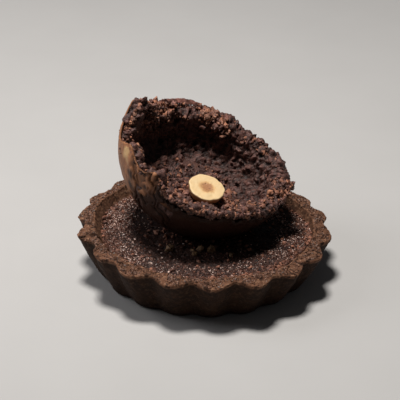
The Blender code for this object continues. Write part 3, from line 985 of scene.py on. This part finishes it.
def make_bowl_crumb():
    """The aerated body inside the skin: its hidden side, the rough broken rim that leans inwards and the steep
    wall, closed off under the dish's floor."""
    heading = np.linspace(0, 2 * pi, 860, endpoint=False)
    rim = crumb_rim(heading)
    outside = BOWL_RADIUS - 0.45
    highest = np.arcsin(rim / outside)
    hidden = np.array([0.03, 0.3, 0.6, 0.8])[:, None]
    band = np.linspace(0.86, 0.985, 14)[:, None]
    side = ball_points(outside, heading, between(-pi / 2, highest, np.concatenate([hidden, band])))
    outer = outside * cos(highest)
    inner = outer - crumb_wall(heading)
    lip = inner - rim_overhang(heading)
    crown = (0.5 * (outer + lip) + 0.4, rim + 0.9)
    rising = curve((outer, rim), (outer - 0.2, rim + 0.7), crown, 8)
    falling = curve(crown, (lip, rim + 0.8), (lip, rim - 0.6), 9)
    share = dish_share(np.linspace(0.36, 0.70, 40)[:, None])
    first = dish_height(share[0])
    under = line((lip, rim - 0.6), (inner * share[0], first), 28)
    closing = np.array([0.6, 0.02])[:, None] + 0 * heading
    radius = np.concatenate([rising[0], falling[0], under[0], inner * share, inner * closing * share[-1]])
    closed = RIM_LEVEL - DISH_DEPTH - 4.0 + 0 * closing
    height = np.concatenate([rising[1], falling[1], under[1], dish_height(share) + 0 * heading, closed])
    points = np.concatenate([side, polar(radius, heading, height)])
    seen = slice(5, -3)
    below_rim = smooth_step(0.0, -4.0, points[..., 2] - rim)
    inwards = smooth_step(0, 1, np.arange(len(points))[:, None] - len(side) - 8)
    smoother = inwards * below_rim * zone(heading, 140, 235, 20)
    on_side = np.arange(len(points))[:, None] < len(side)
    covered = on_side * smooth_step(0.8, -0.2, points[..., 2] - skin_edge(heading))
    smoother = np.maximum(smoother, 1.6 * covered)
    placed = in_place(points)
    hollow = np.zeros(points.shape[:2])
    point = np.zeros(points.shape[:2])
    placed[seen], hollow[seen], point[seen] = broken_crumb(points[seen], smoother[seen])
    colours = ((0.080, 0.034, 0.027), (0.175, 0.076, 0.060), (0.260, 0.108, 0.058))
    finish = crumb_finish("aerated_chocolate", *colours)
    # Tone 0 keeps the body darker than the crumbs on it: painted shade between them.
    piece = add_grid("bowl_crumb", placed, finish, "aerated_chocolate", hollow=hollow, point=point, tone=0 * hollow)
    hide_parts("chocolate_bowl")
    return finish


def make_dish_floor(finish):
    """The crumbly floor of the dish, from just inside the foot of its wall to its middle, closed underneath."""
    heading = np.linspace(0, 2 * pi, 640, endpoint=False)
    inner = BOWL_RADIUS - 0.6 - crumb_wall(heading)
    share = dish_share(np.linspace(0.66, 1.0, 116)[:, None])
    under = np.array([0.01, 0.9])[:, None] * share[0]
    radius = inner * np.concatenate([under, share])
    height = np.concatenate([np.full((2, 1), RIM_LEVEL - DISH_DEPTH - 3.0), dish_height(share)])
    points = polar(radius, heading, height)
    placed = in_place(points)
    hollow = np.zeros(points.shape[:2])
    point = np.zeros(points.shape[:2])
    placed[3:], hollow[3:], point[3:] = broken_crumb(points[3:], 0.0)
    # Tone 0 keeps the floor darker than the crumbs on it: painted shade between them.
    piece = add_grid("dish_floor", placed, finish, "aerated_chocolate", hollow=hollow, point=point, tone=0 * hollow)
    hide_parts("chocolate_bowl")
    return placed[14:]


def rim_places(heading, inwards, up):
    """Places about the middle of the broken rim, without those in a cavity: inwards is towards the axis and up is
    along it."""
    rim = crumb_rim(heading)
    middle = sqrt((BOWL_RADIUS - 0.45) ** 2 - rim**2) - 0.5 * (crumb_wall(heading) + rim_overhang(heading))
    places = polar(middle - inwards, heading, rim + up)
    return in_place(places[cavity_depth(places) == 0])


def make_rim_crumbs(name, clusters, dice, finish):
    """Crumbs heaped on the broken rim, and hanging inwards from it at the back. Each cluster is a count, its first
    and last heading, its middle's place inwards and up, its spread inwards and up, and its smallest and largest
    radius. Small crumbs are the most common."""
    places, radii = [], []
    for count, start, end, inwards, up, spread, up_spread, smallest, largest in clusters:
        heading = radians(dice.uniform(start, end, count))
        inwards = np.maximum(inwards + dice.normal(0, spread, count), -1.6)
        up = up + dice.normal(0, up_spread, count) - 0.12 * (inwards - inwards.mean()) ** 2
        places.append(rim_places(heading, inwards, np.minimum(up, between(1.3, 3.4, zone(heading, 97, 153, 4)))))
        radii.append(between(smallest, largest, dice.uniform(0, 1, len(places[-1])) ** 1.6))
    add_crumbs(name, np.concatenate(places), np.concatenate(radii), 2, 0.22, dice, finish, "aerated_chocolate")


def make_overhang_crumbs(dice, finish):
    """Crumbs that cling to the broken outside below the rim at the front, where the skin has come off."""
    count = 320
    heading = radians(np.concatenate([dice.uniform(238, 296, count - 110), dice.uniform(296, 352, 110)]))
    reach = 1 + 1.1 * waves(polar(BOWL_RADIUS, heading, 0 * heading), 5.0, 103)
    down = dice.uniform(-0.2, 2.4, count) * (0.6 + 0.4 * zone(heading, 242, 290, 6)) * reach
    rim = bowl_rim(heading) - down
    radius = sqrt((BOWL_RADIUS - 0.7) ** 2 - rim**2)
    places = in_place(polar(radius, heading, rim))
    radii = dice.uniform(0.35, 0.95, count)
    add_crumbs("overhang_crumbs", places, radii, 2, 0.2, dice, finish, "aerated_chocolate")


def make_dish_crumbs(dice, finish, floor):
    """Crumbs lying on the dish's floor, most of them on the low side and round the nut."""
    rows = floor.reshape(-1, 3)
    away = np.linalg.norm(rows[:, :2] - NUT_FACE[:2], axis=-1)
    liking = 0.25 + smooth_step(-10, 25, rows[:, 0] - rows[:, 1] * 0.3) + 0.8 * bump_at(away, 9.0, 3.0)
    chosen = dice.choice(len(rows), 620, replace=False, p=liking / liking.sum())
    radii = between(0.35, 1.35, dice.uniform(0, 1, 620) ** 2.2)
    places = rows[chosen] + np.array([0, 0, 0.1])
    add_crumbs("dish_crumbs", places, radii, 2, 0.2, dice, finish, "aerated_chocolate")


def make_flake():
    """A thin ragged scrap of skin that stands a little off the back of the rim: an oval section carried along an
    arc, with both ends drawn to points."""
    low, high = box_mm("chocolate_flake")
    share = np.linspace(0.01, 0.99, 90)[:, None]
    around = np.linspace(0, 2 * pi, 64, endpoint=False)
    heading = radians(between(96, 123, share))
    level = max(bowl_rim(radians(np.linspace(99, 118, 20)))) + 2.3
    width = 1.8 * sqrt(sin(pi * share)) * (1 + 0.15 * sin(9 * share))
    across = width * cos(around)
    up = between(0.9, 0.5, sin(around) > 0) * sin(around) * (1 + 0 * share)
    points = polar(33.8 + across, heading + 0 * across, level + up)
    points = points[:, ::-1]
    points = pushed(points, 0.40 * rough(points, 2.8, 2, 171) + 0.15 * rough(points, 0.8, 2, 175))
    worn = 0.42 + 0.40 * waves(points, 1.6, 177)
    piece = add_grid("skin_flake", in_place(points), skin_finish("flake_skin", *FLAKE_TANS), "chocolate_skin", crack=0 * worn, worn=worn)
    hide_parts("chocolate_flake")


def make_hazelnut():
    """Half a nut: a round side below, a rounded cut edge and a nearly flat face with a shallow middle."""
    heading = np.linspace(0, 2 * pi, 150, endpoint=False)
    zero = 0 * heading
    uneven = 1 + 0.02 * sin(3 * heading + 1) + 0.015 * sin(7 * heading) + 0.008 * sin(13 * heading)
    share = np.linspace(0.0, 0.92, 30)[:, None]
    bulge = between(NUT_FOOT_RADIUS, NUT_RADIUS, sqrt(1 - (1 - share) ** 2)) * uneven
    side = [np.concatenate([NUT_FOOT_RADIUS * np.array([[0.1], [0.6]]) * uneven, bulge])]
    side.append(np.concatenate([np.full((2, 150), -NUT_HEIGHT), -NUT_HEIGHT * (1 - share) + zero]))
    widest = NUT_RADIUS * uneven
    round_edge = curve((widest, zero - 0.4), (widest, zero), (widest - 0.7, zero), 8)
    face_share = np.linspace(1, 0.03, 40)[:, None]
    face = [(widest - 0.7) * face_share, -0.22 * (1 - smooth_step(0.0, 0.75, face_share)) + zero]
    radius = np.concatenate([side[0], round_edge[0], face[0]])
    height = np.concatenate([side[1], round_edge[1], face[1]])
    points = polar(radius, heading + 0 * radius, height)
    away = np.linalg.norm(points[..., :2], axis=-1)
    on_face = smooth_step(-1.3, -0.2, height) + 0 * heading
    middle = on_face * smooth_step(4.4, 0.9, away + 0.6 * waves(points, 1.4, 181))
    pits = balls(points, 1.2, 0.0, 0.34, 183) * (0.15 + middle)
    points = pushed(points, 0.10 * rough(points, 2.4, 2, 187) + 0.04 * rough(points, 0.8, 2, 189) - 0.6 * pits)
    points = points @ tilt_to(NUT_FACING).T + NUT_FACE
    piece = add_grid("hazelnut_half", points, nut_finish(), "hazelnut", face=on_face, middle=middle)
    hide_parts("hazelnut")


# ---------------------------------------------------------------- studio


def aimed(name, data, place, target, roll=0.0):
    """Adds a lamp or camera that looks from its place to the target."""
    thing = bpy.data.objects.new(name, data)
    bpy.context.scene.collection.objects.link(thing)
    back = (Vector(place) - Vector(target)).normalized()
    turn = back.to_track_quat("Z", "Y").to_matrix().to_4x4()
    thing.matrix_world = Matrix.Translation(place) @ turn @ Matrix.Rotation(roll, 4, "Z")
    return thing


def soft_box(name, direction, distance, size, power, colour, target):
    lamp = bpy.data.lights.new(name, "AREA")
    lamp.shape = "DISK"
    lamp.size = size
    lamp.energy = power
    lamp.color = colour
    aimed(name, lamp, target + Vector(direction).normalized() * distance, target)


def make_studio():
    """A pale floor under a faint world light, a soft light almost overhead, a weaker one from the left, and the
    camera."""
    low, high = cad_box
    middle = (low + high) / 2
    finish = Finish("studio_floor", Specular_IOR_Level=0.2)
    tone = finish.noise(40.0, 3.0)
    colour = finish.mix(tone, (0.53, 0.52, 0.51), (0.57, 0.56, 0.55))
    material = finish.done(colour, 0.9, finish.bump(finish.noise(2.0), 0.02))
    data = bpy.data.meshes.new("floor")
    half = 3.0
    data.from_pydata([(-half, -half, 0), (half, -half, 0), (half, half, 0), (-half, half, 0)], [], [(0, 1, 2, 3)])
    data.materials.append(material)
    floor = bpy.data.objects.new("floor", data)
    bpy.context.scene.collection.objects.link(floor)
    soft_box("key_light", (-0.14, 0.07, 1.00), 0.60, 0.15, 4.0, (1.0, 0.97, 0.93), middle)
    soft_box("side_light", (-1.0, 0.1, 0.7), 0.80, 0.50, 1.7, (0.98, 0.98, 1.0), middle)
    world = bpy.data.worlds.new("studio")
    world.use_nodes = True
    world.node_tree.nodes["Background"].inputs["Color"].default_value = (0.80, 0.82, 0.86, 1)
    world.node_tree.nodes["Background"].inputs["Strength"].default_value = 0.045
    bpy.context.scene.world = world
    bpy.context.scene.view_settings.view_transform = "Standard"
    lens = bpy.data.cameras.new("camera")
    lens.lens = 161.3
    lens.sensor_width = 36
    target = middle + Vector((-0.002126, -0.00034, -0.00258))
    elevation = radians(27.38)
    place = target + 0.6957 * Vector((0, -cos(elevation), sin(elevation)))
    bpy.context.scene.camera = aimed("camera", lens, place, target, roll=radians(0.709))


dice = np.random.default_rng(7)
rim_top = make_crust()
make_rim_grains(rim_top, dice)
filling_top = make_filling()
make_specks(filling_top, dice)
make_filling_crumbs(filling_top, dice)
make_chopped_nuts(dice)
make_bowl_skin()
aerated = make_bowl_crumb()
dish_floor = make_dish_floor(aerated)
make_rim_crumbs("rim_crumbs", RIM_CRUMBS, dice, aerated)
# Paler crumbs as painted light.
make_rim_crumbs("worn_crumbs", LIT_CRUMBS, dice, crumb_finish("worn_crumb", *LIT_CRUMB_TONES))
make_overhang_crumbs(dice, aerated)
make_dish_crumbs(dice, aerated, dish_floor)
make_flake()
make_hazelnut()
make_studio()
